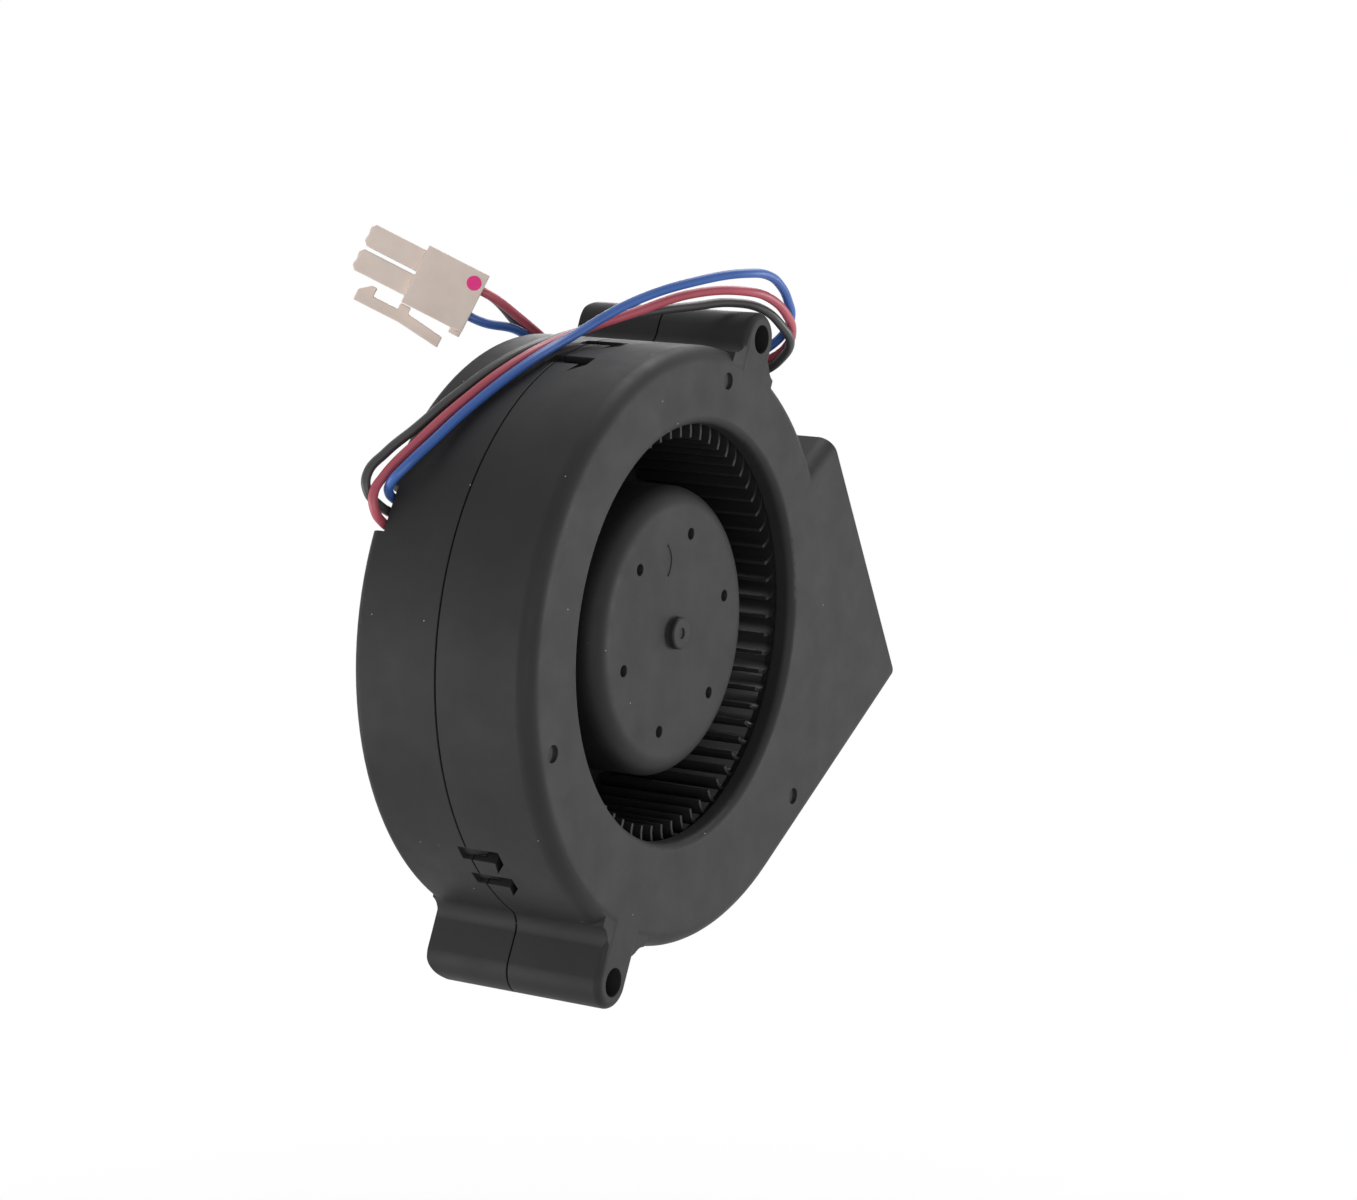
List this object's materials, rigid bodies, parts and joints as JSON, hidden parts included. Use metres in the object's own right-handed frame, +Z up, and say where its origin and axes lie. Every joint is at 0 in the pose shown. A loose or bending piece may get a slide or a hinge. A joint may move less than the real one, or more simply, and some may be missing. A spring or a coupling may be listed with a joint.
{
  "type": "radial blower",
  "caption": "Flat scroll-housed radial blower with a forward-curved impeller on an external-rotor motor, diagonal screw ears, a rectangular outlet and leads to a latched plug.",
  "frame": {"origin": "on the rotor axis, at the rear face that seats on the mounting plate", "axes": "+Y along the rotor axis, out of the rear face; the inlet faces -Y; +Z up, the outlet points to +X and up"},
  "size_m": [0.1133, 0.0601, 0.113],
  "materials": {
    "shell_plastic": "moulded black plastic with a fine satin grain",
    "impeller_plastic": "moulded black plastic, satin",
    "cup_steel": "deep-drawn steel",
    "magnet": "bonded ferrite, matt",
    "bearing_steel": "ground and polished steel",
    "brass": "turned brass",
    "core_steel": "stacked steel laminations",
    "insulator_plastic": "moulded nylon, satin",
    "winding_copper": "lacquered copper wire",
    "board": "green solder mask",
    "chip_plastic": "moulded black resin",
    "lead_red": "soft lead insulation, slight sheen",
    "lead_blue": "soft lead insulation, slight sheen",
    "lead_black": "soft lead insulation, slight sheen",
    "plug_nylon": "natural nylon, satin",
    "contact_metal": "tinned brass"
  },
  "bodies": {
    "housing": {"front_shell": "shell_plastic", "rear_shell": "shell_plastic", "bearing_balls": "bearing_steel", "bearing_outer_rings": "bearing_steel", "bearing_tube": "brass", "stator_core": "core_steel", "front_insulator": "insulator_plastic", "rear_insulator": "insulator_plastic", "stator_coils": "winding_copper", "circuit_board": "board", "hall_sensor": "chip_plastic", "driver_chip": "chip_plastic", "board_resistors": "chip_plastic", "lead_red": "lead_red", "lead_blue": "lead_blue", "lead_black": "lead_black", "plug_housing": "plug_nylon", "plug_contacts": "contact_metal"},
    "rotor": {"impeller": "impeller_plastic", "rotor_cup": "cup_steel", "magnet_ring": "magnet", "shaft": "bearing_steel", "shaft_bush": "brass", "preload_spring": "bearing_steel", "retaining_clip": "bearing_steel", "bearing_inner_rings": "bearing_steel"},
    "latch": {"plug_latch": "plug_nylon"}
  },
  "joints": [
    {"name": "rotor_spin", "type": "hinge", "parent": "housing", "child": "rotor", "pos_m": [0, 0, 0], "axis": [0, -1, 0], "continuous": true},
    {"name": "latch_rock", "type": "hinge", "parent": "housing", "child": "latch", "pos_m": [-0.00259, 0.0192, 0.04742], "axis": [-0.8137, -0.571, 0.1092], "range_deg": [0, 9], "stiffness_Nm_per_rad": 0.02}
  ]
}
